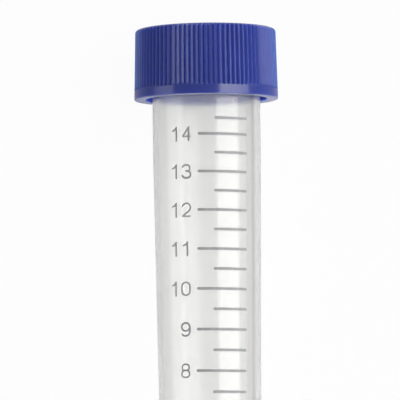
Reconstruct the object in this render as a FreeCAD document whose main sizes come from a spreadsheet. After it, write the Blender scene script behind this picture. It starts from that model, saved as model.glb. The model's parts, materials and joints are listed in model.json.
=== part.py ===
"""15 ml conical tube with its screw cap, as a parametric FreeCAD document.

A drafted barrel runs down to a cone with a rounded tip, and a ribbed cap screws onto a coarse right-hand
thread at the neck. A loose sealing disc lies between the cap and the rim. Each piece is modelled about the
tube's axis, with +Z towards the cap's top, and the closed tube is then laid on its side as it comes to rest
on a bench: on the edge of the cap's skirt and on the shoulder where the cone begins.

Lengths are in millimetres and angles in degrees.
"""

import FreeCAD, Part
import math
import os

import Sketcher
from FreeCAD import Placement, Rotation, Vector

# driving dimensions: name, value, what it is
SIZES = [
    ("tube_length", 120.0, "tip to rim"),
    ("cone_length", 22.2, "tip to the shoulder where the barrel begins"),
    ("tip_radius", 2.5, "outside rounding of the tip"),
    ("shoulder_radius", 7.36, "outside of the barrel at the shoulder"),
    ("barrel_radius", 8.34, "outside of the barrel below the cap"),
    ("rack_length", 9.0, "straight stretch of the barrel below the cap, for a rack hole"),
    ("neck_taper", 0.12, "how much narrower the neck is at the rim, on the radius"),
    ("rim_bevel", 0.15, "bevel on the rim's two edges"),
    ("wall", 0.78, "wall at the neck, at the shoulder and in the cone"),
    ("tip_wall", 1.2, "closed end, on the axis"),
    ("thread_pitch", 3.0, "rise of the thread in one turn"),
    ("thread_turns", 1.5, "length of the thread on neck and cap, in turns"),
    ("thread_depth", 0.8, "height of the thread's ridge"),
    ("thread_flank", 25.0, "slope of the ridge's flanks"),
    ("thread_play", 0.15, "axial play on each side at the middle of the flanks"),
    ("crest_gap", 0.25, "radial gap past the crest of the neck's ridge"),
    ("plain_lip", 0.85, "neck left plain above its thread"),
    ("cap_height", 10.9, "edge of the skirt to the flat top"),
    ("skirt_wall", 1.74, "wall of the skirt at its edge"),
    ("cap_draft", 1.4, "taper of the cap's side"),
    ("cap_top", 1.2, "thickness of the flat top"),
    ("cap_corner", 0.4, "bevel of the cap's top edge"),
    ("skirt_bevel", 0.15, "bevel of the skirt's outer edge"),
    ("band_height", 1.4, "plain band between the skirt's edge and the ribs"),
    ("rib_count", 90, "ribs around the cap"),
    ("groove_depth", 0.25, "depth of the groove between two ribs, half its width"),
    ("seal_thickness", 0.5, "sealing disc, pressed on the rim"),
    ("seal_gap", 0.15, "edge of the sealing disc to the cap's wall"),
]

# what follows from them: name, formula over the driving dimensions, what it is
FITS = [
    ("flank_run", "Sizes.thread_depth / 2 * tan(Sizes.thread_flank)", "axial run of half a flank"),
    ("ridge_half", "Sizes.thread_pitch / 4 - Sizes.thread_play / 2", "half the ridge at the middle of its flanks"),
    ("ridge_rise", "Sizes.thread_pitch * Sizes.thread_turns", "rise of the whole thread"),
    ("ridge_root", "Sizes.wall / 4", "how deep the ridge is rooted in its wall"),
    ("thread_start", "Sizes.tube_length - Sizes.plain_lip - ridge_half - flank_run - ridge_rise",
     "height of the neck thread's first turn"),
    ("rim_radius", "Sizes.barrel_radius - Sizes.neck_taper", "outside of the neck at the rim"),
    ("neck_crest", "Sizes.barrel_radius + Sizes.thread_depth", "crest of the neck's thread"),
    ("cap_bore", "neck_crest + Sizes.crest_gap", "inside of the cap"),
    ("cap_crest", "cap_bore - Sizes.thread_depth", "crest of the cap's thread"),
    ("cap_radius", "cap_bore + Sizes.skirt_wall", "outside of the skirt at its edge"),
    ("cap_depth", "Sizes.cap_height - Sizes.cap_top", "inside depth of the cap"),
    ("cap_seat", "Sizes.tube_length + Sizes.seal_thickness - cap_depth", "skirt's edge above the tip, screwed home"),
    ("cap_narrowing", "tan(Sizes.cap_draft)", "taper of the cap's side, per unit of height"),
]


def fill_sheet(doc, name, rows):
    """A sheet with one aliased cell for each row: name, number or formula, description."""
    sheet = doc.addObject("Spreadsheet::Sheet", name)
    for line, (alias, content, meaning) in enumerate(rows, start=1):
        sheet.set(f"A{line}", alias)
        sheet.set(f"B{line}", f"={content}" if isinstance(content, str) else str(content))
        sheet.setAlias(f"B{line}", alias)
        sheet.set(f"C{line}", meaning)
    doc.recompute()
    return sheet


def origin_plane(body, role):
    return next(feature for feature in body.Origin.OriginFeatures if feature.Role == role)


def new_sketch(body, name, role="XZ_Plane"):
    sketch = body.newObject("Sketcher::SketchObject", name)
    sketch.AttachmentSupport = (origin_plane(body, role), [""])
    sketch.MapMode = "FlatFace"
    return sketch


def bind(sketch, constraint, name, formula):
    """Adds a named constraint and ties it to a formula over the sheets."""
    index = sketch.addConstraint(constraint)
    sketch.renameConstraint(index, name)
    sketch.setExpression(f"Constraints.{name}", formula)


def pin_point(sketch, label, geometry, end, radius, height):
    """Holds one end of a line at a distance from the axis and a height; 0 puts it on the axis or the base."""
    for axis, kind, letter, formula in ((-2, "DistanceX", "r", radius), (-1, "DistanceY", "z", height)):
        if formula == "0":
            sketch.addConstraint(Sketcher.Constraint("PointOnObject", geometry, end, axis))
        else:
            distance = Sketcher.Constraint(kind, -1, 1, geometry, end, float(sketch.evalExpression(formula)))
            bind(sketch, distance, f"{letter}{label}", formula)


def outline(body, name, corners):
    """Closed outline through corners, each a (distance from the axis, height) pair of formulas."""
    sketch = new_sketch(body, name)
    points = [Vector(*(float(sketch.evalExpression(formula)) for formula in corner)) for corner in corners]
    for start, end in zip(points, points[1:] + points[:1]):
        sketch.addGeometry(Part.LineSegment(start, end), False)
    for line, corner in enumerate(corners):
        sketch.addConstraint(Sketcher.Constraint("Coincident", line - 1 if line else len(corners) - 1, 2, line, 1))
        pin_point(sketch, line, line, 1, *corner)
    return sketch


def pointed_outline(body, name, tip_height, tip_radius, corners):
    """Closed outline that starts with a round tip on the axis, tangent to the line to the first corner."""
    sketch = new_sketch(body, name)
    bottom, rounding = (float(sketch.evalExpression(formula)) for formula in (tip_height, tip_radius))
    points = [Vector(*(float(sketch.evalExpression(formula)) for formula in corner)) for corner in corners]
    centre = Vector(0, bottom + rounding, 0)
    reach = points[0] - centre
    slope = math.atan2(reach.y, reach.x) - math.acos(rounding / reach.Length)
    touch = centre + Vector(math.cos(slope), math.sin(slope), 0) * rounding
    circle = Part.Circle(centre, Vector(0, 0, 1), rounding)
    tip = sketch.addGeometry(Part.ArcOfCircle(circle, -math.pi / 2, slope), False)
    route = [touch] + points + [Vector(0, bottom, 0)]
    for start, end in zip(route, route[1:]):
        sketch.addGeometry(Part.LineSegment(start, end), False)
    sketch.addConstraint(Sketcher.Constraint("Tangent", tip, 2, tip + 1, 1))
    sketch.addConstraint(Sketcher.Constraint("PointOnObject", tip, 3, -2))
    bind(sketch, Sketcher.Constraint("Radius", tip, rounding), "tip_radius", tip_radius)
    for line, corner in enumerate(corners, start=tip + 2):
        sketch.addConstraint(Sketcher.Constraint("Coincident", line - 1, 2, line, 1))
        pin_point(sketch, line, line, 1, *corner)
    closing = tip + 1 + len(corners)
    sketch.addConstraint(Sketcher.Constraint("Coincident", closing, 2, tip, 1))
    pin_point(sketch, "tip", tip, 1, "0", tip_height)
    return sketch


def revolve(body, name, sketch, kind="PartDesign::Revolution"):
    feature = body.newObject(kind, name)
    feature.Profile = sketch
    feature.ReferenceAxis = (sketch, ["V_Axis"])
    feature.Angle = 360
    body.Document.recompute()
    return feature


def thread(body, name, crest, root, middle, inward):
    """Right-hand ridge around the axis: crest and root are radii, middle its first turn's height."""
    slope = "tan(Sizes.thread_flank)"
    at_crest = "(Fits.ridge_half - Fits.flank_run)"
    at_root = f"(Fits.ridge_half + Fits.flank_run + Fits.ridge_root * {slope})"
    corners = [
        (root, f"{middle} - {at_root}"),
        (crest, f"{middle} - {at_crest}"),
        (crest, f"{middle} + {at_crest}"),
        (root, f"{middle} + {at_root}"),
    ]
    sketch = outline(body, f"{name}_section", corners[::-1] if inward else corners)
    ridge = body.newObject("PartDesign::AdditiveHelix", name)
    ridge.Profile = sketch
    ridge.ReferenceAxis = (sketch, ["V_Axis"])
    ridge.Mode = "pitch-turns-angle"
    ridge.setExpression("Pitch", "Sizes.thread_pitch")
    ridge.setExpression("Turns", "Sizes.thread_turns")
    body.Document.recompute()
    return ridge


def make_tube(doc):
    """The one-piece tube, with z = 0 at the tip."""
    body = doc.addObject("PartDesign::Body", "tube")
    outside = pointed_outline(
        body,
        "tube_outside",
        "0",
        "Sizes.tip_radius",
        [
            ("Sizes.shoulder_radius", "Sizes.cone_length"),
            ("Sizes.barrel_radius", "Fits.cap_seat - Sizes.rack_length"),
            ("Sizes.barrel_radius", "Fits.cap_seat"),
            ("Fits.rim_radius", "Sizes.tube_length - Sizes.rim_bevel"),
            ("Fits.rim_radius - Sizes.rim_bevel", "Sizes.tube_length"),
            ("0", "Sizes.tube_length"),
        ],
    )
    revolve(body, "tube_blank", outside)
    inside = pointed_outline(
        body,
        "tube_inside",
        "Sizes.tip_wall",
        "Sizes.tip_radius - Sizes.wall",
        [
            ("Sizes.shoulder_radius - Sizes.wall", "Sizes.cone_length"),
            ("Sizes.barrel_radius - Sizes.wall", "Fits.cap_seat"),
            ("Sizes.barrel_radius - Sizes.wall", "Sizes.tube_length - Sizes.rim_bevel"),
            ("Sizes.barrel_radius - Sizes.wall + Sizes.rim_bevel", "Sizes.tube_length"),
            ("0", "Sizes.tube_length"),
        ],
    )
    revolve(body, "tube_bore", inside, "PartDesign::Groove")
    root = "(Sizes.barrel_radius - Fits.ridge_root)"
    thread(body, "neck_thread", "Fits.neck_crest", root, "Fits.thread_start", inward=False)
    return body


def make_cap(doc):
    """The one-piece screw cap, with z = 0 at the skirt's edge."""
    body = doc.addObject("PartDesign::Body", "cap")
    side = "Fits.cap_radius - Fits.cap_narrowing"
    shell = outline(
        body,
        "cap_shell_outline",
        [
            ("Fits.cap_bore", "0"),
            ("Fits.cap_radius - Sizes.skirt_bevel", "0"),
            (f"{side} * Sizes.skirt_bevel", "Sizes.skirt_bevel"),
            (f"{side} * (Sizes.cap_height - Sizes.cap_corner)", "Sizes.cap_height - Sizes.cap_corner"),
            (f"{side} * Sizes.cap_height - Sizes.cap_corner", "Sizes.cap_height"),
            ("0", "Sizes.cap_height"),
            ("0", "Fits.cap_depth"),
            ("Fits.cap_bore", "Fits.cap_depth"),
        ],
    )
    revolve(body, "cap_shell", shell)
    cut_ribs(body)
    root = "(Fits.cap_bore + Fits.ridge_root)"
    middle = "(Fits.thread_start - Sizes.thread_pitch / 2 - Fits.cap_seat)"
    thread(body, "cap_thread", "Fits.cap_crest", root, middle, inward=True)
    return body


def cut_ribs(body):
    """Square-cornered grooves down the cap's tapered side, from over the top edge to the plain band."""
    groove = body.newObject("PartDesign::SubtractivePrism", "rib_groove")
    groove.Polygon = 4
    groove.AttachmentSupport = (origin_plane(body, "XY_Plane"), [""])
    groove.MapMode = "FlatFace"
    groove.AttachmentOffset = Placement(Vector(), Rotation(Vector(0, -1, 0), 1))
    groove.setExpression("AttachmentOffset.Rotation.Angle", "Sizes.cap_draft")
    groove.setExpression("AttachmentOffset.Base.x", "Fits.cap_radius - Sizes.band_height * Fits.cap_narrowing")
    groove.setExpression("AttachmentOffset.Base.z", "Sizes.band_height")
    groove.setExpression("Circumradius", "Sizes.groove_depth")
    groove.setExpression("Height", "Sizes.cap_height")
    body.Document.recompute()
    ribs = body.newObject("PartDesign::PolarPattern", "ribs")
    ribs.Originals = [groove]
    ribs.Axis = (next(f for f in body.Origin.OriginFeatures if f.Role == "Z_Axis"), [""])
    ribs.Angle = 360
    ribs.setExpression("Occurrences", "Sizes.rib_count")
    body.Tip = ribs
    body.Document.recompute()
    return ribs


def make_seal(doc):
    """The sealing disc, with z = 0 on its underside."""
    body = doc.addObject("PartDesign::Body", "cap_seal")
    sketch = new_sketch(body, "seal_outline", "XY_Plane")
    sketch.addGeometry(Part.Circle(Vector(), Vector(0, 0, 1), 1), False)
    sketch.addConstraint(Sketcher.Constraint("Coincident", 0, 3, -1, 1))
    bind(sketch, Sketcher.Constraint("Radius", 0, 1), "seal_radius", "Fits.cap_bore - Sizes.seal_gap")
    disc = body.newObject("PartDesign::Pad", "seal_disc")
    disc.Profile = sketch
    disc.setExpression("Length", "Sizes.seal_thickness")
    doc.recompute()
    return body


def resting_tilt(sizes, fits):
    """Angle by which the lying tube's cap end is raised: it rests on the skirt's widest edge and the shoulder."""
    widest = fits.cap_radius - fits.cap_narrowing * sizes.skirt_bevel
    along = fits.cap_seat + sizes.skirt_bevel - sizes.cone_length
    return math.degrees(math.atan2(widest - sizes.shoulder_radius, along))


def lay_down(bodies, heights, tilt):
    """Stacks the pieces along the tube's axis and lays them on z = 0, centred over the origin."""
    turn = Placement(Vector(), Rotation(Vector(1, 0, 0), tilt - 90))
    for body, height in zip(bodies, heights):
        body.Placement = turn.multiply(Placement(Vector(0, 0, height), Rotation()))
    body_boxes = [body.Shape.optimalBoundingBox() for body in bodies]
    box = body_boxes[0]
    for other in body_boxes[1:]:
        box.add(other)
    shift = Placement(Vector(0, -box.Center.y, -box.ZMin), Rotation())
    for body in bodies:
        body.Placement = shift.multiply(body.Placement)


def check(doc, bodies):
    for item in doc.Objects:
        if "Invalid" in item.State or "Error" in item.State:
            raise RuntimeError(f"{item.Label} failed: {item.State}")
    for body in bodies:
        if body.Shape.isNull() or not body.Shape.isValid() or len(body.Shape.Solids) != 1:
            raise RuntimeError(f"{body.Label} isn't one valid solid")


def main():
    doc = FreeCAD.newDocument("conical_tube")
    sizes = fill_sheet(doc, "Sizes", SIZES)
    fits = fill_sheet(doc, "Fits", FITS)
    tube = make_tube(doc)
    seal = make_seal(doc)
    cap = make_cap(doc)
    bodies = [tube, seal, cap]
    lay_down(bodies, [0, sizes.tube_length, fits.cap_seat], resting_tilt(sizes, fits))
    check(doc, bodies)
    os.makedirs("parts", exist_ok=True)
    for body in bodies:
        body.Shape.exportStep(f"parts/{body.Label}.step")
        print(body.Label, round(body.Shape.Volume, 1), "mm3", body.Placement)


main()
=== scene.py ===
"""15 ml conical tube with its screw cap, lying on a white bench: fine model, materials, light and camera.

Every piece is modelled upright, with the tube's tip at the origin and its axis along +Z, and is then laid
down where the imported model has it. The printed scale faces -Y while upright, which is up once it lies.
Lengths are in metres.
"""

import json
import math

import bpy
from bpy.props import FloatProperty, FloatVectorProperty, IntProperty, PointerProperty
from bpy.types import Operator, Panel, PropertyGroup
from mathutils import Matrix, Vector


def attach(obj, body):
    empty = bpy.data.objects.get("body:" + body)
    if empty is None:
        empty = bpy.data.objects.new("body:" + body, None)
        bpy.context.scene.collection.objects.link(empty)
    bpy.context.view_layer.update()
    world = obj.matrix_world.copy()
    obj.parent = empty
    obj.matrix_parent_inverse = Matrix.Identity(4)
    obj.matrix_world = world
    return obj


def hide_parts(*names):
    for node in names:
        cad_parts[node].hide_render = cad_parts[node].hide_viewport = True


bl_info = {
    "name": "Conical Tube",
    "version": (1, 0, 0),
    "blender": (4, 5, 0),
    "location": "3D View > Sidebar > Conical Tube",
    "description": "Models and lights a 15 ml conical tube with a ribbed screw cap",
    "category": "Add Mesh",
}

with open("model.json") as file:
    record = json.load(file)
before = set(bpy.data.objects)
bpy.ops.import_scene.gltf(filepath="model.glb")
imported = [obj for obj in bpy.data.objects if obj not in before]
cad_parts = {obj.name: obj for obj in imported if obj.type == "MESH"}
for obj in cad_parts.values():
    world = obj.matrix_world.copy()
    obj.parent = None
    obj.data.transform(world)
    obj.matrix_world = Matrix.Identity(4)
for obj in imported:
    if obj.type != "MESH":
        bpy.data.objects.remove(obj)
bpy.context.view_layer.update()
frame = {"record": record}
MOUNTS = {mount["name"]: mount for mount in frame["record"]["mounts"]}
AXIS = Vector(MOUNTS["cap_top"]["axis"]).normalized()
CAP_TOP = Vector(MOUNTS["cap_top"]["pos_m"])
ACROSS = Vector((1, 0, 0))
UP = ACROSS.cross(AXIS)
# What is upright while modelling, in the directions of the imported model: its X, Y and Z as rows.
UPRIGHT = Matrix((ACROSS, -UP, AXIS))

# How finely round forms are divided.
TUBE_STEPS = 192
SEAL_STEPS = 128
THREAD_STEPS = 96
RIB_COLUMNS = 5
MARK_STEPS = 24
FILLET_STEP = math.radians(15)

# How near two places, or two turns of a thread, count as the same.
SAME_POINT = 1e-7
SAME_PLACE = 1e-6
SAME_TURN = 1e-4

CUBIC_METRE_IN_ML = 1e6
# Watts for each square metre of a lamp that shines at level 1.
LAMP_POWER = 4


def length(name, description, default):
    return FloatProperty(name=name, description=description, default=default, unit="LENGTH", precision=5)


def angle(name, description, degrees):
    return FloatProperty(name=name, description=description, default=math.radians(degrees), subtype="ANGLE")


def colour(name, description, default):
    return FloatVectorProperty(
        name=name, description=description, default=default, subtype="COLOR", min=0, max=1
    )


def share(name, description, default):
    return FloatProperty(name=name, description=description, default=default, subtype="FACTOR", min=0, max=1)


class TubeSizes(PropertyGroup):
    """The one-piece tube and its thread."""

    length: length("Length", "Tip to rim", 0.120)
    cone: length("Cone", "Tip to the shoulder where the barrel begins", 0.0222)
    tip_radius: length("Tip", "Outside rounding of the tip", 0.0025)
    shoulder_radius: length("Shoulder", "Outside radius at the shoulder", 0.00736)
    shoulder_round: length("Shoulder rounding", "Rounding between cone and barrel", 0.004)
    radius: length("Barrel", "Outside radius below the cap", MOUNTS["rack_fit"]["dims"]["r_mm"] / 1000)
    straight: length("Straight stretch", "Barrel without taper below the cap", 0.009)
    neck_taper: length("Neck taper", "How much narrower the neck is at the rim", 0.00012)
    rim_round: length("Rim rounding", "Rounding of the rim's edges", 0.00018)
    rim_band: length("Rim band", "Neck without taper at the rim", 0.0006)
    wall: length("Wall", "Wall at the neck, at the shoulder and in the cone", 0.00078)
    tip_wall: length("Tip wall", "Closed end on the axis", 0.0012)
    pitch: length("Pitch", "Rise of the thread in one turn", 0.003)
    turns: FloatProperty(
        name="Turns", description="Length of the thread in turns", default=1.5, min=0.5, max=3
    )
    thread_depth: length("Thread depth", "Height of the thread's ridge", 0.0008)
    flank: angle("Flank", "Slope of the ridge's flanks", 25)
    play: length("Play", "Axial play at the middle of the flanks", 0.00015)
    lip: length("Lip", "Neck left plain above its thread", 0.00085)


class CapSizes(PropertyGroup):
    """The one-piece ribbed cap."""

    height: length("Height", "Edge of the skirt to the flat top", 0.0109)
    top: length("Top", "Thickness of the flat top", 0.0012)
    crest_gap: length("Crest gap", "Past the crest of the neck's ridge", 0.00025)
    skirt_wall: length("Skirt", "Wall of the skirt at its edge", 0.00174)
    draft: angle("Draft", "Taper of the side", 1.4)
    corner: length("Corner", "Rounding of the top edge", 0.00055)
    skirt_round: length("Skirt rounding", "Rounding of the skirt's edges", 0.00016)
    band: length("Band", "Plain band between the skirt's edge and the ribs", 0.0014)
    ribs: IntProperty(name="Ribs", description="Ribs around the cap", default=90, min=12, max=120)
    groove: length("Groove", "Depth of the groove between two ribs", 0.00025)
    seal: length("Seal", "Thickness of the sealing disc", 0.0005)
    seal_gap: length("Seal gap", "Edge of the sealing disc to the cap's wall", 0.00015)


class ScaleSizes(PropertyGroup):
    """The printed scale. Places around the tube are arc lengths from the line that faces -Y."""

    top_mark: FloatProperty(name="Top mark", description="Highest mark, in millilitres", default=14.5)
    step: FloatProperty(name="Step", description="Millilitres between two marks", default=0.5)
    line: length("Line", "Thickness of a mark", 0.00042)
    right: length("Right end", "Where every mark ends", 0.00687)
    long_mark: length("Long mark", "Length of a whole millilitre's mark", 0.00815)
    short_mark: length("Short mark", "Length of a half millilitre's mark", 0.0056)
    digit: length("Digit height", "Height of a digit", 0.00228)
    digit_width: length("Digit width", "Width of a digit", 0.00165)
    digit_gap: length("Digit gap", "Space between two digits", 0.00035)
    stroke: length("Stroke", "Thickness of a digit's strokes", 0.0003)
    digits_right: length("Digits' right end", "Where every number ends", -0.0023)
    raised: length("Raised", "How far the print sits above its true heights", 0.00015)
    stretch: FloatProperty(name="Stretch", description="Printed spacing over the true one", default=1.011)
    still: FloatProperty(
        name="Still mark", description="Mark that the stretch leaves in place, in millilitres", default=12
    )
    lean: angle("Lean", "How far each mark and number is turned from the tube's axis", 0.65)
    drift: angle("Drift", "How far the columns of the print run off the tube's axis", 1.07)
    top_drop: length("Top drop", "How much lower than its true height the highest mark sits", 0.0004)
    ink: length("Ink", "Thickness of the print", 0.00003)


class Finish(PropertyGroup):
    """Colours of all surfaces, and how the clear plastic takes the light."""

    cap: colour("Cap", "Blue of the cap", (0.035, 0.059, 0.33))
    tube: colour("Tube", "Tint of the clear plastic", (0.843, 0.843, 0.835))
    haze: share("Haze", "Share of the light that the tube's surfaces scatter", 0.07)
    lets_light: share(
        "Light through", "Share of the lamps' light that reaches what the tube covers", 1.0
    )
    # Strength of the painted shade ring where the tube's wall is seen edge on.
    edge: share("Edge", "How much darker the tube's wall is where it is seen edge on", 0.7)
    seal: colour("Seal", "White of the sealing foam", (0.82, 0.83, 0.81))
    ink: colour("Ink", "Grey of the print", (0.31, 0.31, 0.32))
    bench: colour("Bench", "White of the bench", (0.85, 0.85, 0.85))


class StageSizes(PropertyGroup):
    """Bench, light and camera."""

    bench: length("Bench", "Side of the bench", 6.0)
    shadow: share("Shadow", "Share of the bench's shadow that shows", 0.05)
    mirrored: share("Mirrored shadow", "Share of the bench's shadow that shows in gloss", 0.6)
    through: share(
        "Shadow through the tube", "Share of the bench's shadow that shows through the tube", 0.12
    )
    sky: FloatProperty(name="Sky", description="Level of the light from all round", default=0.3, min=0, max=2)
    horizon: share("Horizon", "Level of the reflections from all round", 0.6)
    overhead: share("Overhead", "Level of the reflections from straight above", 0.2)
    distance: length("Distance", "Camera to the tube's axis", 0.79)
    view_width: length("View width", "Width of the view at the tube", 0.0618)
    below_seat: length("Below skirt", "Middle of the view below the skirt's edge", 0.01553)
    aside: length("Aside", "Middle of the view to the left of the axis", 0.00117)
    pitch: angle("Pitch", "How far the camera looks up along the tube", 4.31)
    roll: angle("Roll", "How far the tube leans in the view", 0.75)


# --- places and forms ---


def seat(tube, cap):
    """Height of the skirt's edge above the tip, screwed home."""
    return tube.length + cap.seal + cap.top - cap.height


def outside(tube, cap, z):
    """Outside radius of cone and barrel at a height, thread and tip left out."""
    top = seat(tube, cap) - tube.straight
    if z >= top:
        return tube.radius
    shoulder = tube.shoulder_radius
    if z >= tube.cone:
        return shoulder + (tube.radius - shoulder) * (z - tube.cone) / (top - tube.cone)
    low = tube.tip_radius
    return low + (shoulder - low) * (z - low) / (tube.cone - low)


def bore(tube, cap, z):
    """Inside radius at a height, up to the skirt's edge."""
    low = tube.tip_radius - tube.wall
    start = tube.tip_wall + low
    shoulder = tube.shoulder_radius - tube.wall
    if z >= tube.cone:
        mouth = tube.radius - tube.wall
        return shoulder + (mouth - shoulder) * (z - tube.cone) / (seat(tube, cap) - tube.cone)
    if z >= start:
        return low + (shoulder - low) * (z - start) / (tube.cone - start)
    return math.sqrt(max(low**2 - (start - z) ** 2, 0))


def mark_heights(tube, cap, scale):
    """Height of each printed mark by its millilitres: where the bore holds that much."""
    heights = {}
    slice_height = 0.00002
    z, held, wanted = tube.tip_wall, 0.0, scale.step
    while wanted <= scale.top_mark:
        held += math.pi * bore(tube, cap, z + slice_height / 2) ** 2 * slice_height * CUBIC_METRE_IN_ML
        z += slice_height
        if held >= wanted:
            heights[wanted] = z
            wanted += scale.step
    return heights


def ridge_shape(tube):
    """Half of the thread's ridge at its middle depth, and how much less at its crest or more at its root."""
    middle = tube.pitch / 4 - tube.play / 2
    return middle, tube.thread_depth / 2 * math.tan(tube.flank)


def thread_start(tube):
    """Middle height of the neck thread's first turn."""
    middle, run = ridge_shape(tube)
    return tube.length - tube.lip - middle - run - tube.pitch * tube.turns


def tip_corners(rounding, bottom, shoulder, height):
    """Points round a tip, from near the axis to where it meets the cone."""
    centre = bottom + rounding
    reach = Vector((shoulder, height - centre))
    slope = math.atan2(reach.y, reach.x) - math.acos(rounding / reach.length)
    steps = 8
    angles = [-math.pi / 2 + (slope + math.pi / 2) * step / steps for step in range(1, steps + 1)]
    return [(rounding * math.cos(a), centre + rounding * math.sin(a), 0) for a in angles]


def tip_place(tube, cap):
    """Where the tip of the laid-down tube is."""
    return CAP_TOP - AXIS * (tube.length + cap.seal + cap.top)


def lay_down(piece):
    """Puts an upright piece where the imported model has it, with its place in its mesh."""
    scene = bpy.context.scene
    tip = tip_place(scene.tube_sizes, scene.cap_sizes)
    piece.matrix_world = Matrix.Translation(tip) @ UPRIGHT.transposed().to_4x4() @ piece.matrix_world
    pick(piece)
    bpy.ops.object.transform_apply(location=True, rotation=True, scale=True)


# --- modelling steps ---


def pick(*pieces):
    """Selects these objects alone, the first one active."""
    bpy.ops.object.select_all(action="DESELECT")
    for piece in pieces:
        piece.select_set(True)
    bpy.context.view_layer.objects.active = pieces[0]


def edit(piece, action="DESELECT"):
    """Opens a piece in edit mode, with none or all of its points selected."""
    pick(piece)
    bpy.ops.object.mode_set(mode="EDIT")
    bpy.ops.mesh.select_mode(type="VERT")
    bpy.ops.mesh.select_all(action=action)


def done():
    bpy.ops.object.mode_set(mode="OBJECT")


def select_points(piece, wanted):
    """In edit mode, selects the points whose place passes the test and nothing else."""
    bpy.ops.mesh.select_all(action="DESELECT")
    bpy.ops.object.mode_set(mode="OBJECT")
    for point in piece.data.vertices:
        point.select = wanted(point.co)
    bpy.ops.object.mode_set(mode="EDIT")


def new_outline(name, corners):
    """A wire through (radius, height, rounding) corners in the XZ plane; rounding is the fillet's radius."""
    bpy.ops.object.select_all(action="DESELECT")
    bpy.ops.mesh.primitive_plane_add(size=0.001)
    wire = bpy.context.object
    wire.name = wire.data.name = name
    edit(wire, "SELECT")
    bpy.ops.mesh.merge(type="CENTER")
    bpy.ops.transform.translate(value=(corners[0][0], 0, corners[0][1]))
    for start, end in zip(corners, corners[1:]):
        step = (end[0] - start[0], 0, end[1] - start[1])
        bpy.ops.mesh.extrude_region_move(TRANSFORM_OT_translate={"value": step})
    for before, (r, z, rounding), after in zip(corners, corners[1:], corners[2:]):
        if rounding:
            arriving = Vector((r - before[0], z - before[1]))
            leaving = Vector((after[0] - r, after[1] - z))
            turn = abs(arriving.angle_signed(leaving))
            select_points(wire, lambda co: abs(co.x - r) < SAME_POINT and abs(co.z - z) < SAME_POINT)
            steps = max(2, round(turn / FILLET_STEP))
            bpy.ops.mesh.bevel(offset=rounding * math.tan(turn / 2), segments=steps, affect="VERTICES")
    done()
    return wire


def spin_round(wire, steps):
    """Turns an outline into a closed round body, with its faces outwards."""
    edit(wire, "SELECT")
    bpy.ops.mesh.spin(steps=steps, angle=2 * math.pi, center=(0, 0, 0), axis=(0, 0, 1))
    bpy.ops.mesh.select_all(action="SELECT")
    bpy.ops.mesh.remove_doubles(threshold=SAME_PLACE)
    bpy.ops.mesh.normals_make_consistent(inside=False)
    done()
    return wire


def apply(piece, kind, name, **settings):
    """Adds a modifier with its settings and applies it."""
    modifier = piece.modifiers.new(name, kind)
    for key, setting in settings.items():
        setattr(modifier, key, setting)
    pick(piece)
    bpy.ops.object.modifier_apply(modifier=modifier.name)


def smooth(piece, degrees):
    """Shades a piece smooth over edges that are flatter than this."""
    pick(piece)
    bpy.ops.object.shade_smooth_by_angle(angle=math.radians(degrees))


def thread_ridge(name, tube, crest, root, start):
    """Right-hand ridge round the axis that runs out at both ends; start is its first turn's middle height."""
    middle, run = ridge_shape(tube)
    at_crest = middle - run
    at_root = middle + run + (abs(crest - root) - tube.thread_depth) * math.tan(tube.flank)
    corners = [(root, -at_root), (crest, -at_crest), (crest, at_crest), (root, at_root)]
    ridge = new_outline(name, [(r, start + z, 0) for r, z in corners])
    edit(ridge, "SELECT")
    bpy.ops.mesh.edge_face_add()
    bpy.ops.mesh.delete(type="ONLY_FACE")
    done()
    steps = round(THREAD_STEPS * tube.turns)
    apply(
        ridge,
        "SCREW",
        "Thread",
        angle=2 * math.pi * tube.turns,
        screw_offset=tube.pitch * tube.turns,
        steps=steps,
        render_steps=steps,
        use_merge_vertices=False,
    )

    def turns_along(co):
        """How many turns along the ridge a point of its crest lies."""
        round_the_axis = math.atan2(co.y, co.x) / (2 * math.pi)
        whole_turns = round((co.z - start) / tube.pitch - round_the_axis)
        return whole_turns + round_the_axis

    def on_crest_at(co, turn):
        on_crest = abs(math.hypot(co.x, co.y) - crest) < SAME_PLACE
        return on_crest and abs(turns_along(co) - turn) < SAME_TURN

    edit(ridge)
    run_out, blunt = 6, 0.35
    for step in range(run_out):
        height = (step + blunt) / run_out
        narrowed = root + (crest - root) * height
        for turn in (step / THREAD_STEPS, tube.turns - step / THREAD_STEPS):
            select_points(ridge, lambda co: on_crest_at(co, turn))
            factor = narrowed / crest
            bpy.ops.transform.resize(value=(factor, factor, 1), center_override=(0, 0, 0))
    bpy.ops.mesh.select_all(action="SELECT")
    bpy.ops.mesh.fill_holes(sides=0)
    bpy.ops.mesh.select_all(action="SELECT")
    bpy.ops.mesh.normals_make_consistent(inside=False)
    done()
    return ridge


# --- materials ---


class Value:
    """A number in a material, so that shader maths reads as an expression."""

    def __init__(self, finish, socket):
        self.finish = finish
        self.socket = socket

    def maths(self, operation, *inputs, clamp=False):
        node = self.finish.node("ShaderNodeMath", {"operation": operation, "use_clamp": clamp}, inputs)
        return Value(self.finish, node.outputs[0])

    def __add__(self, other):
        return self.maths("ADD", self, other)

    def __sub__(self, other):
        return self.maths("SUBTRACT", self, other)

    def __rsub__(self, other):
        return self.maths("SUBTRACT", other, self)

    def __mul__(self, other):
        return self.maths("MULTIPLY", self, other)

    __radd__ = __add__
    __rmul__ = __mul__

    def __truediv__(self, other):
        return self.maths("DIVIDE", self, other)

    def within_one(self):
        return self.maths("ADD", self, 0.0, clamp=True)

    def size(self):
        """The number without its sign."""
        return self.maths("ABSOLUTE", self)

    def larger(self, other):
        return self.maths("MAXIMUM", self, other)

    def above(self, limit, softness):
        """0 below the limit and 1 above it, with a soft step between."""
        return ((self - limit) / softness + 0.5).within_one()


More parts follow.
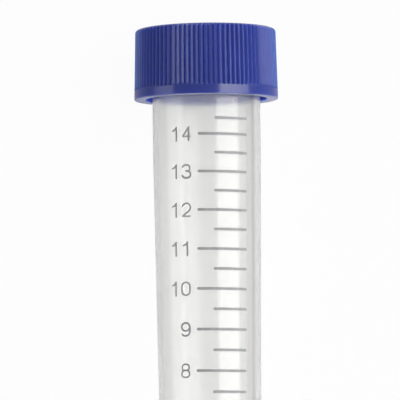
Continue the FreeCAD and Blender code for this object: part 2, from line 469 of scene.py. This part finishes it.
class Surface:
    """A node material under construction."""

    def __init__(self, owner):
        owner.use_nodes = True
        self.owner = owner
        self.tree = owner.node_tree
        self.tree.nodes.clear()

    def node(self, kind, settings=None, inputs=()):
        """Adds a node: its settings, then its sockets by place or by name, each a number, colour or link."""
        node = self.tree.nodes.new(kind)
        for key, setting in (settings or {}).items():
            setattr(node, key, setting)
        pairs = inputs.items() if isinstance(inputs, dict) else enumerate(inputs)
        for key, content in pairs:
            self.feed(node.inputs[key], content)
        return node

    def feed(self, socket, content):
        if isinstance(content, Value):
            content = content.socket
        if isinstance(content, bpy.types.NodeSocket):
            self.tree.links.new(content, socket)
        elif socket.type == "RGBA":
            socket.default_value = (*content, 1)
        else:
            socket.default_value = content

    def value(self, node, output=0):
        return Value(self, node.outputs[output])

    def upright(self):
        """Object coordinates turned back so that Z runs along the tube's axis from its tip."""
        scene = bpy.context.scene
        tip = tip_place(scene.tube_sizes, scene.cap_sizes)
        place = self.node("ShaderNodeTexCoord").outputs["Object"]
        return self.mapped(self.mapped(place, Location=-tip), Rotation=UPRIGHT.to_euler())

    def mapped(self, place, **change):
        """Coordinates moved, turned or scaled."""
        inputs = {"Vector": place, **change}
        return self.node("ShaderNodeMapping", {"vector_type": "POINT"}, inputs).outputs[0]

    def drawn_out(self, place, along):
        """Coordinates that draw a pattern out along the tube where the factor is under 1."""
        return self.mapped(place, Scale=(1, 1, along))

    def noise(self, place, scale, detail=3.0, roughness=0.5):
        inputs = {"Vector": place, "Scale": scale, "Detail": detail, "Roughness": roughness}
        return self.value(self.node("ShaderNodeTexNoise", None, inputs), "Fac")

    def mix(self, factor, first, second):
        """A colour between two, by a factor."""
        settings = {"data_type": "RGBA", "blend_type": "MIX", "clamp_factor": True}
        first_colour, second_colour, result = 6, 7, 2
        inputs = {"Factor": factor, first_colour: first, second_colour: second}
        return self.node("ShaderNodeMix", settings, inputs).outputs[result]

    def bump(self, height, depth, strength):
        inputs = {"Height": height, "Distance": depth, "Strength": strength}
        return self.node("ShaderNodeBump", None, inputs).outputs[0]

    def plastic(self, **sockets):
        """A plastic's shader; each socket is given by its name, with underscores for spaces."""
        inputs = {key.replace("_", " "): content for key, content in sockets.items()}
        return self.node("ShaderNodeBsdfPrincipled", None, inputs)

    def facing(self):
        """0 where the surface faces the eye, rising to 1 where it is seen edge on."""
        return self.value(self.node("ShaderNodeLayerWeight", None, {"Blend": 0.5}), "Facing")

    def between(self, factor, first, second):
        """A shader between two, by a factor."""
        return self.node("ShaderNodeMixShader", None, (factor, first.outputs[0], second.outputs[0]))

    def finish(self, shader, kind="ShaderNodeOutputMaterial"):
        output = self.node(kind)
        self.tree.links.new(shader.outputs[0], output.inputs["Surface"])
        return self.owner


def tinted(base, factor):
    """A colour made darker or lighter."""
    return tuple(min(channel * factor, 1.0) for channel in base)


def clear_plastic(finish):
    """Natural polypropylene: glossy, slightly milky, with a painted shade ring near its edge, and faint flow
    lines along it.
    """
    surface = Surface(bpy.data.materials.new("clear_plastic"))
    place = surface.upright()
    lines = surface.noise(surface.drawn_out(place, 0.06), 900, 4.0, 0.6)
    cloud = surface.noise(place, 120, 2.0)
    # Painted shade: a dark ring is painted into the colour where the wall turns edge on, standing in for the
    # shade that refraction gives there. On the right side (+X) it sits further in and is full strength; on
    # the left it keeps only a share.
    across = surface.value(surface.node("ShaderNodeSeparateXYZ", None, (place,)), "X")
    right = across.above(0, 0.004)
    shade_ring_facing, shade_ring_width = 0.57, 0.1
    further_in, left_shade_share = 0.09, 0.4
    off_shade_ring = (surface.facing() - shade_ring_facing + further_in * right).size() / shade_ring_width
    edge = (1 - off_shade_ring).within_one() * (left_shade_share + (1 - left_shade_share) * right)
    clear = surface.mix(cloud, tinted(finish.tube, 0.985), finish.tube)
    shader = surface.plastic(
        # Base colour darkened towards grey by the painted shade ring.
        Base_Color=surface.mix(edge * finish.edge, clear, tinted(finish.tube, 0.3)),
        Roughness=0.12 + 0.1 * (lines * 0.4 + cloud * 0.6),
        IOR=1.49,
        Transmission_Weight=1 - finish.haze,
        Normal=surface.bump(lines, 0.00001, 0.12),
    )
    shadow = surface.value(surface.node("ShaderNodeLightPath"), "Is Shadow Ray")
    clear_way = surface.node("ShaderNodeBsdfTransparent", None, {"Color": (1, 1, 1)})
    return surface.finish(surface.between(shadow * finish.lets_light, shader, clear_way))


def cap_plastic(finish, tube, cap):
    """Blue polyethylene: satin on the ribs, polished on the plain band, with fine scuffs; its band carries
    painted shade and its inside painted light, lighter than the rest.
    """
    surface = Surface(bpy.data.materials.new("cap_plastic"))
    place = surface.upright()
    parts = surface.node("ShaderNodeSeparateXYZ", None, (place,))
    x, y, height = (surface.value(parts, name) for name in "XYZ")
    base = seat(tube, cap)
    in_the_wall = 0.0002
    bore_squared = (tube.radius + tube.thread_depth + cap.crest_gap + in_the_wall) ** 2
    below_top = 1 - height.above(base + cap.height - cap.top / 2, cap.top / 4)
    # Mask of the inside surfaces, which get painted light below.
    inside = (1 - (x * x + y * y).above(bore_squared, bore_squared / 50)) * below_top
    band = 1 - height.above(base + cap.band, cap.groove / 2)
    underside = 1 - height.above(base + cap.skirt_round, cap.skirt_round)
    top_edge = height.above(base + cap.height - cap.corner * 0.6, cap.corner * 0.4)
    shine_fades, underside_shine = 2.8, 0.42
    turned_away = (shine_fades * surface.facing()).within_one()
    edges = (underside_shine * underside + top_edge).within_one()
    grain = surface.noise(place, 6000, 4.0, 0.6)
    cloud = surface.noise(place, 260, 3.0)
    scuffs = surface.noise(surface.drawn_out(place, 0.3), 2600, 5.0, 0.7).above(0.58, 0.12)
    # Random tone of the blue plastic.
    mottled = surface.mix(cloud, tinted(finish.cap, 0.88), tinted(finish.cap, 1.12))
    # Painted shade: the plain band's colour is darkened, standing in for the band catching less light than
    # the ribs.
    band_painted_shade = surface.mix(band * 0.5, mottled, tinted(finish.cap, 0.8))
    # Painted light: the inside is painted lighter, standing in for light that comes through the cap's and
    # tube's walls.
    inside_painted_light = surface.mix(inside, band_painted_shade, tinted(finish.cap, 1.5))
    # Lighter scuffs are real wear; the colour they go onto already carries the painted band shade and the
    # painted light inside.
    scuffs_with_painted_light = surface.mix(scuffs * 0.08, inside_painted_light, tinted(finish.cap, 2.0))
    shader = surface.plastic(
        Base_Color=scuffs_with_painted_light,
        Roughness=0.38 + 0.08 * cloud + 0.06 * scuffs - 0.12 * band,
        IOR=1.5,
        Specular_IOR_Level=0.18,
        Coat_Weight=(0.4 + 0.6 * band.larger(top_edge)) * (1 - turned_away * (1 - edges)),
        Coat_Roughness=0.16,
        Coat_IOR=1.68,
        Subsurface_Weight=0.85,
        Subsurface_Radius=(0.4, 0.6, 1.0),
        Subsurface_Scale=0.004,
        Normal=surface.bump(grain, 0.000003, 0.5),
    )
    return surface.finish(shader)


def seal_foam(finish):
    """White closed-cell foam, dull, with fine pores."""
    surface = Surface(bpy.data.materials.new("seal_foam"))
    place = surface.upright()
    cells = surface.node("ShaderNodeTexVoronoi", {"feature": "F1"}, {"Vector": place, "Scale": 7000.0})
    pores = surface.value(cells, "Distance")
    shader = surface.plastic(
        Base_Color=surface.mix(pores, tinted(finish.seal, 0.9), finish.seal),
        Roughness=0.62 + 0.15 * pores,
        Normal=surface.bump(pores, 0.00004, 0.6),
    )
    return surface.finish(shader)


def grey_ink(finish):
    """Screen-printed ink: matt, a little uneven."""
    surface = Surface(bpy.data.materials.new("grey_ink"))
    place = surface.upright()
    uneven = surface.noise(place, 2500, 4.0, 0.6)
    shader = surface.plastic(
        Base_Color=surface.mix(uneven.above(0.5, 0.5), tinted(finish.ink, 0.8), tinted(finish.ink, 1.6)),
        Roughness=0.45 + 0.2 * uneven,
        Normal=surface.bump(uneven, 0.000005, 0.4),
    )
    return surface.finish(shader)


def bench_white(finish, stage):
    """White bench that keeps a share of the shadows."""
    surface = Surface(bpy.data.materials.new("bench_white"))
    place = surface.node("ShaderNodeTexCoord").outputs["Object"]
    cloud = surface.noise(place, 30, 3.0)
    matt = surface.plastic(
        Base_Color=surface.mix(cloud, tinted(finish.bench, 0.985), finish.bench),
        Roughness=0.65 + 0.1 * cloud,
        Normal=surface.bump(surface.noise(place, 900, 3.0), 0.00005, 0.2),
    )
    white = surface.node("ShaderNodeEmission", None, {"Color": (1, 1, 1), "Strength": 1.0})
    path = surface.node("ShaderNodeLightPath")
    seen = surface.value(path, "Is Camera Ray")
    mirrored = surface.value(path, "Is Glossy Ray")
    through = surface.value(path, "Is Transmission Ray")
    shadowless = (seen * (1 - stage.shadow)).larger(mirrored * (1 - stage.mirrored))
    return surface.finish(surface.between(shadowless.larger(through * (1 - stage.through)), matt, white))


def white_sky(stage):
    """White all round for what is seen, dimmer overhead in reflections, and plain light on everything."""
    world = bpy.data.worlds.new("white_sky")
    surface = Surface(world)
    direction = surface.node("ShaderNodeTexCoord").outputs["Generated"]
    height = surface.value(surface.node("ShaderNodeSeparateXYZ", None, (direction,)), "Z")
    path = surface.node("ShaderNodeLightPath")
    mirror = surface.value(path, "Is Glossy Ray")
    seen = surface.value(path, "Is Camera Ray").larger(surface.value(path, "Is Transmission Ray"))
    half_way, softness = 0.35, 0.6
    overhead = stage.horizon - height.above(half_way, softness) * (stage.horizon - stage.overhead)
    level = seen.larger(mirror * overhead).larger((1 - mirror) * stage.sky)
    glow = surface.node("ShaderNodeBackground", None, {"Color": (1, 1, 1), "Strength": level})
    surface.finish(glow, "ShaderNodeOutputWorld")
    return world


def dress(piece, material):
    """Gives a piece its one material."""
    piece.data.materials.clear()
    piece.data.materials.append(material)


# --- operators ---


class CONICALTUBE_OT_tube(Operator):
    """Model the tube: tip, cone, barrel, neck with its thread, rounded rim and bore"""

    bl_idname = "conical_tube.tube"
    bl_label = "Tube"

    def execute(self, context):
        tube, cap = context.scene.tube_sizes, context.scene.cap_sizes
        base = seat(tube, cap)
        rim = tube.radius - tube.neck_taper
        inner_tip = tube.tip_radius - tube.wall
        inner_shoulder = tube.shoulder_radius - tube.wall
        mouth = tube.radius - tube.wall
        corners = [
            (0, 0, 0),
            *tip_corners(tube.tip_radius, 0, tube.shoulder_radius, tube.cone),
            (tube.shoulder_radius, tube.cone, tube.shoulder_round),
            (tube.radius, base - tube.straight, 0),
            (tube.radius, base, 0),
            (rim, tube.length - tube.rim_band, 0),
            (rim, tube.length, tube.rim_round),
            (mouth, tube.length, tube.rim_round),
            (mouth, tube.length - tube.rim_band, 0),
            (mouth, base, 0),
            (inner_shoulder, tube.cone, tube.shoulder_round),
            *reversed(tip_corners(inner_tip, tube.tip_wall, inner_shoulder, tube.cone)),
            (0, tube.tip_wall, 0),
        ]
        piece = spin_round(new_outline("tube_moulding", corners), TUBE_STEPS)
        root = tube.radius - tube.wall / 4
        ridge = thread_ridge("neck_thread", tube, tube.radius + tube.thread_depth, root, thread_start(tube))
        apply(piece, "BOOLEAN", "Thread", operation="UNION", object=ridge, solver="EXACT")
        bpy.data.objects.remove(ridge)
        smooth(piece, degrees=30)
        lay_down(piece)
        dress(piece, clear_plastic(context.scene.finish))
        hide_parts("tube")
        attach(piece, "tube")
        return {"FINISHED"}


class CONICALTUBE_OT_cap(Operator):
    """Model the cap: ribbed side, plain band, rounded edges and the thread inside"""

    bl_idname = "conical_tube.cap"
    bl_label = "Cap"

    def execute(self, context):
        tube, cap = context.scene.tube_sizes, context.scene.cap_sizes
        base = seat(tube, cap)
        inside = tube.radius + tube.thread_depth + cap.crest_gap
        skirt = inside + cap.skirt_wall
        narrowing = math.tan(cap.draft)

        def side(height):
            return skirt - narrowing * height

        below_corner = cap.height - 2 * cap.corner
        corners = [
            (0, base + cap.height, 0),
            (side(cap.height) - 2 * cap.corner, base + cap.height, 0),
            (side(cap.height), base + cap.height, cap.corner),
            (side(below_corner), base + below_corner, 0),
            (side(cap.band + cap.groove), base + cap.band + cap.groove, 0),
            (side(cap.band), base + cap.band, 0),
            (side(3 * cap.skirt_round), base + 3 * cap.skirt_round, 0),
            (skirt, base, cap.skirt_round),
            (inside, base, cap.skirt_round),
            (inside, base + 3 * cap.skirt_round, 0),
            (inside, base + cap.height - cap.top, cap.skirt_round),
            (inside - 3 * cap.skirt_round, base + cap.height - cap.top, 0),
            (0, base + cap.height - cap.top, 0),
        ]
        piece = spin_round(new_outline("screw_cap", corners), RIB_COLUMNS * cap.ribs)
        self.cut_grooves(piece, cap, base, side)
        root = inside + tube.wall / 4
        start = thread_start(tube) - tube.pitch / 2
        ridge = thread_ridge("cap_thread", tube, inside - tube.thread_depth, root, start)
        pick(piece, ridge)
        bpy.ops.object.join()
        smooth(piece, degrees=20)
        lay_down(piece)
        dress(piece, cap_plastic(context.scene.finish, tube, cap))
        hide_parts("cap")
        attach(piece, "cap")
        return {"FINISHED"}

    def cut_grooves(self, piece, cap, base, side):
        """Draws points inwards, ring by ring: of five columns one is a groove's bottom and two its sides."""
        column = 2 * math.pi / cap.ribs / RIB_COLUMNS

        def columns_off(co):
            """How many columns a point lies from the nearest groove's bottom."""
            return abs(round(math.remainder(math.atan2(co.y, co.x), RIB_COLUMNS * column) / column))

        def on_ring(co, height, radius):
            off_axis = math.hypot(co.x, co.y)
            return abs(co.z - height) < SAME_PLACE and abs(off_axis - radius) < 2 * SAME_PLACE

        edit(piece)
        lowest = base + cap.band + cap.groove / 2
        rings = sorted({
            (round(co.z, 7), round(math.hypot(co.x, co.y), 6))
            for co in (point.co for point in piece.data.vertices)
            if co.z > lowest and math.hypot(co.x, co.y) > side(cap.height) - cap.groove
        })
        for height, radius in rings:
            for columns, depth in ((0, cap.groove), (1, cap.groove / 2)):
                factor = (side(height - base) - depth) / radius
                if factor < 1:
                    select_points(
                        piece, lambda co: on_ring(co, height, radius) and columns_off(co) == columns
                    )
                    bpy.ops.transform.resize(value=(factor, factor, 1), center_override=(0, 0, 0))
        done()


class CONICALTUBE_OT_seal(Operator):
    """Model the sealing disc between cap and rim"""

    bl_idname = "conical_tube.seal"
    bl_label = "Seal"

    def execute(self, context):
        tube, cap = context.scene.tube_sizes, context.scene.cap_sizes
        radius = tube.radius + tube.thread_depth + cap.crest_gap - cap.seal_gap
        rounding = cap.seal / 5
        corners = [
            (0, tube.length, 0),
            (radius - 4 * rounding, tube.length, 0),
            (radius, tube.length, rounding),
            (radius, tube.length + cap.seal, rounding),
            (radius - 4 * rounding, tube.length + cap.seal, 0),
            (0, tube.length + cap.seal, 0),
        ]
        piece = spin_round(new_outline("foam_seal", corners), SEAL_STEPS)
        smooth(piece, degrees=40)
        lay_down(piece)
        dress(piece, seal_foam(context.scene.finish))
        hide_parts("cap_seal")
        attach(piece, "seal")
        return {"FINISHED"}


class CONICALTUBE_OT_scale(Operator):
    """Print the scale on the tube: a mark each half millilitre and a number each millilitre"""

    bl_idname = "conical_tube.scale"
    bl_label = "Scale"

    def execute(self, context):
        tube, cap, scale = context.scene.tube_sizes, context.scene.cap_sizes, context.scene.scale_sizes
        marks, numbers = [], []
        heights = mark_heights(tube, cap, scale)
        top = heights[max(heights)]
        for millilitres, height in heights.items():
            if height < tube.cone + scale.digit:
                continue
            radius = outside(tube, cap, height) + scale.ink / 4
            below = outside(tube, cap, height - scale.digit) + scale.ink / 4
            taper = math.atan((radius - below) / scale.digit)
            shift = (height - top) * math.tan(scale.drift)
            height += (height - heights[scale.still]) * (scale.stretch - 1) + scale.raised
            if millilitres == scale.top_mark:
                height -= scale.top_drop
            whole = millilitres == round(millilitres)
            width = scale.long_mark if whole else scale.short_mark
            along = scale.right - width / 2 + shift
            mark = self.flat_mark(width, scale.line, scale.ink)
            marks.append(self.wrap(mark, radius, taper, scale.lean, along, height))
            if whole:
                text = str(round(millilitres))
                width = len(text) * (scale.digit_width + scale.digit_gap) - scale.digit_gap
                along = scale.digits_right - width / 2 + shift
                number = self.flat_number(text, scale)
                numbers.append(self.wrap(number, radius, taper, scale.lean, along, height))
        for name, rows in (("scale_marks", marks), ("scale_numbers", numbers)):
            pick(*rows)
            bpy.ops.object.join()
            piece = bpy.context.object
            piece.name = piece.data.name = name
            edit(piece, "SELECT")
            bpy.ops.mesh.normals_make_consistent(inside=False)
            done()
            smooth(piece, degrees=40)
            lay_down(piece)
            dress(piece, grey_ink(context.scene.finish))
            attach(piece, "tube")
        return {"FINISHED"}

    def flat_mark(self, width, line, ink):
        """A thin strip in the XZ plane, centred."""
        bpy.ops.object.select_all(action="DESELECT")
        bpy.ops.mesh.primitive_grid_add(x_subdivisions=MARK_STEPS, y_subdivisions=1, size=1)
        strip = bpy.context.object
        strip.scale = (width, line, 1)
        strip.rotation_euler = (math.pi / 2, 0, 0)
        bpy.ops.object.transform_apply(location=True, rotation=True, scale=True)
        apply(strip, "SOLIDIFY", "Ink", thickness=ink, offset=0)
        return strip

    def flat_number(self, text, scale):
        """A thin number in the XZ plane, centred by its digits' cells."""
        across, up = scale.digit_width - scale.stroke, scale.digit - scale.stroke
        step = scale.digit_width + scale.digit_gap
        strokes = []
        for place, digit in enumerate(text):
            left = (place - (len(text) - 1) / 2) * step - across / 2
            for corners in digit_strokes(digit, across, up):
                placed = [(left + x, z - up / 2, rounding) for x, z, rounding in corners]
                stroke = new_outline("stroke", placed)
                edit(stroke, "SELECT")
                bpy.ops.mesh.remove_doubles(threshold=SAME_POINT)
                done()
                strokes.append(stroke)
        pick(*strokes)
        bpy.ops.object.join()
        bpy.ops.object.convert(target="CURVE")
        number = bpy.context.object
        number.data.bevel_depth = scale.stroke / 2
        number.data.bevel_resolution = 1
        number.data.use_fill_caps = True
        bpy.ops.object.convert(target="MESH")
        number = bpy.context.object
        number.scale = (1, scale.ink / scale.stroke, 1)
        bpy.ops.object.transform_apply(location=True, rotation=True, scale=True)
        return number

    def wrap(self, flat, radius, taper, lean, along, height):
        """Bends a flat print to the tube's radius and taper, leans it and turns it to its place."""
        angle = flat.dimensions.x / radius
        apply(flat, "SIMPLE_DEFORM", "Round", deform_method="BEND", deform_axis="Z", angle=angle)
        pick(flat)
        flat.location = (0, -radius, height - along * math.tan(lean))
        flat.rotation_euler = (taper, lean, 0)
        bpy.ops.object.transform_apply(location=True, rotation=True, scale=True)
        flat.rotation_euler = (0, 0, along / radius)
        bpy.ops.object.transform_apply(location=True, rotation=True, scale=True)
        return flat


def digit_strokes(digit, w, h):
    """Strokes of a plain digit as (across, up, rounding) corners of their middle lines, in a w by h box."""
    bow = 0.49 * w
    waist = 0.53 * h
    top, bottom = 0.49 * (h - waist), 0.49 * waist
    foot, head = -0.07 * h, 1.07 * h
    six = [
        [
            (0.95 * w, 0.8 * h, 0),
            (0.95 * w, h, 0.4 * w),
            (0, h, bow),
            (0, 0, bow),
            (w, 0, bow),
            (w, 0.3 * h, 0),
        ],
        [(w, 0.3 * h, 0), (w, 0.62 * h, bow), (0, 0.62 * h, bow), (0, 0.3 * h, 0)],
    ]
    strokes = {
        "0": [[(0, h / 2, 0), (0, h, bow), (w, h, bow), (w, 0, bow), (0, 0, bow), (0, h / 2, 0)]],
        "1": [
            [(0.66 * w, foot, 0), (0.66 * w, head, 0)],
            [(0.62 * w, h, 0), (0.5 * w, 0.85 * h, 0.3 * w), (0.1 * w, 0.74 * h, 0)],
        ],
        "2": [
            [
                (0.03 * w, 0.72 * h, 0),
                (0.03 * w, h, bow),
                (w, h, bow),
                (w, 0.5 * h, 0.45 * w),
                (0.02 * w, 0, 0),
            ],
            [(0, 0, 0), (w, 0, 0)],
        ],
        "3": [
            [
                (0.04 * w, 0.78 * h, 0),
                (0.04 * w, h, top),
                (0.92 * w, h, top),
                (0.92 * w, waist, top),
                (0.38 * w, waist, 0),
            ],
            [(0.38 * w, waist, 0), (w, waist, bottom), (w, 0, bottom), (0, 0, bottom), (0, 0.25 * h, 0)],
        ],
        "4": [
            [(0.74 * w, foot, 0), (0.74 * w, head, 0)],
            [(0.74 * w, h, 0), (0, 0.3 * h, 0)],
            [(0, 0.3 * h, 0), (w, 0.3 * h, 0)],
        ],
        "5": [
            [(0.92 * w, h, 0), (0.14 * w, h, 0)],
            [(0.16 * w, h, 0), (0.05 * w, 0.48 * h, 0)],
            [
                (0.05 * w, 0.5 * h, 0),
                (0.3 * w, 0.64 * h, 0.3 * w),
                (w, 0.64 * h, bow),
                (w, 0, bow),
                (0, 0, bow),
                (0, 0.24 * h, 0),
            ],
        ],
        "6": six,
        "7": [[(0, h, 0), (w, h, 0)], [(w, h, 0), (0.5 * w, 0.45 * h, 0.8 * w), (0.34 * w, 0, 0)]],
        "8": [
            [
                (0.06 * w, 0.77 * h, 0),
                (0.06 * w, h, top),
                (0.94 * w, h, top),
                (0.94 * w, waist, top),
                (0.06 * w, waist, top),
                (0.06 * w, 0.77 * h, 0),
            ],
            [
                (0, waist / 2, 0),
                (0, waist, bottom),
                (w, waist, bottom),
                (w, 0, bottom),
                (0, 0, bottom),
                (0, waist / 2, 0),
            ],
        ],
        "9": [[(w - x, h - z, rounding) for x, z, rounding in corners] for corners in six],
    }
    return strokes[digit]


class CONICALTUBE_OT_stage(Operator):
    """Set the bench, the light and the camera"""

    bl_idname = "conical_tube.stage"
    bl_label = "Stage"

    def execute(self, context):
        scene = context.scene
        stage = scene.stage_sizes
        bpy.ops.object.select_all(action="DESELECT")
        bpy.ops.mesh.primitive_grid_add(x_subdivisions=8, y_subdivisions=8, size=stage.bench)
        bench = context.object
        bench.name = "bench"
        dress(bench, bench_white(scene.finish, stage))
        scene.world = white_sky(stage)
        softbox("right_softbox", distance=0.45, first=18, last=72, level=1.2, glossy=False)
        softbox("right_glow", distance=0.43, first=21, last=70, level=2.2, diffuse=False)
        softbox("left_softbox", distance=0.45, first=-98, last=-48, level=0.3, glossy=False)
        softbox("left_glow", distance=0.43, first=-98, last=-53, level=1.0, diffuse=False)
        aim_camera(scene, stage, scene.tube_sizes, scene.cap_sizes)
        scene.view_settings.view_transform = "Standard"
        return {"FINISHED"}


def softbox(name, distance, first, last, level, glossy=True, diffuse=True):
    """A long lamp beside the tube, between two angles from straight up, in degrees towards +X."""
    length_along = 1.2
    middle = math.radians((first + last) / 2)
    width = 2 * distance * math.tan(math.radians(last - first) / 2)
    place = (distance * math.sin(middle), 0, distance * math.cos(middle))
    bpy.ops.object.select_all(action="DESELECT")
    bpy.ops.object.light_add(type="AREA", location=place)
    lamp = bpy.context.object
    lamp.name = name
    lamp.rotation_euler = (0, middle, 0)
    lamp.data.shape = "RECTANGLE"
    lamp.data.size, lamp.data.size_y = width, length_along
    lamp.data.energy = LAMP_POWER * level * width * length_along
    lamp.visible_camera = False
    lamp.visible_glossy = glossy
    lamp.visible_diffuse = diffuse


def aim_camera(scene, stage, tube, cap):
    """Looks down on the scale, from a little towards the tip."""
    target = tip_place(tube, cap) + AXIS * (seat(tube, cap) - stage.below_seat) - Vector((stage.aside, 0, 0))
    back = UP * math.cos(stage.pitch) - AXIS * math.sin(stage.pitch)
    over = AXIS * math.cos(stage.pitch) + UP * math.sin(stage.pitch)
    aside = over.cross(back)
    top = over * math.cos(stage.roll) + aside * math.sin(stage.roll)
    bpy.ops.object.camera_add(location=target + back * stage.distance)
    camera = bpy.context.object
    camera.rotation_euler = Matrix((top.cross(back), top, back)).transposed().to_euler()
    camera.data.sensor_width = 36
    camera.data.lens = camera.data.sensor_width * stage.distance / stage.view_width
    camera.data.clip_start, camera.data.clip_end = 0.01, 20
    scene.camera = camera


class CONICALTUBE_PT_panel(Panel):
    """Lists the pieces and their sizes"""

    bl_idname = "CONICALTUBE_PT_panel"
    bl_label = "Conical Tube"
    bl_space_type = "VIEW_3D"
    bl_region_type = "UI"
    bl_category = "Conical Tube"

    def draw(self, context):
        layout = self.layout
        for operator in OPERATORS:
            layout.operator(operator.bl_idname)
        for name in GROUPS:
            group = getattr(context.scene, name)
            box = layout.box()
            for key in group.__annotations__:
                box.prop(group, key)


OPERATORS = (
    CONICALTUBE_OT_stage,
    CONICALTUBE_OT_tube,
    CONICALTUBE_OT_cap,
    CONICALTUBE_OT_seal,
    CONICALTUBE_OT_scale,
)
GROUPS = {
    "tube_sizes": TubeSizes,
    "cap_sizes": CapSizes,
    "scale_sizes": ScaleSizes,
    "finish": Finish,
    "stage_sizes": StageSizes,
}


def register():
    for group in GROUPS.values():
        bpy.utils.register_class(group)
    for name, group in GROUPS.items():
        setattr(bpy.types.Scene, name, PointerProperty(type=group))
    for operator in OPERATORS:
        bpy.utils.register_class(operator)
    bpy.utils.register_class(CONICALTUBE_PT_panel)


def unregister():
    bpy.utils.unregister_class(CONICALTUBE_PT_panel)
    for operator in reversed(OPERATORS):
        bpy.utils.unregister_class(operator)
    for name in GROUPS:
        delattr(bpy.types.Scene, name)
    for group in reversed(GROUPS.values()):
        bpy.utils.unregister_class(group)


def main():
    register()
    bpy.ops.conical_tube.stage()
    bpy.ops.conical_tube.tube()
    bpy.ops.conical_tube.cap()
    bpy.ops.conical_tube.seal()
    bpy.ops.conical_tube.scale()


if __name__ == "__main__":
    main()
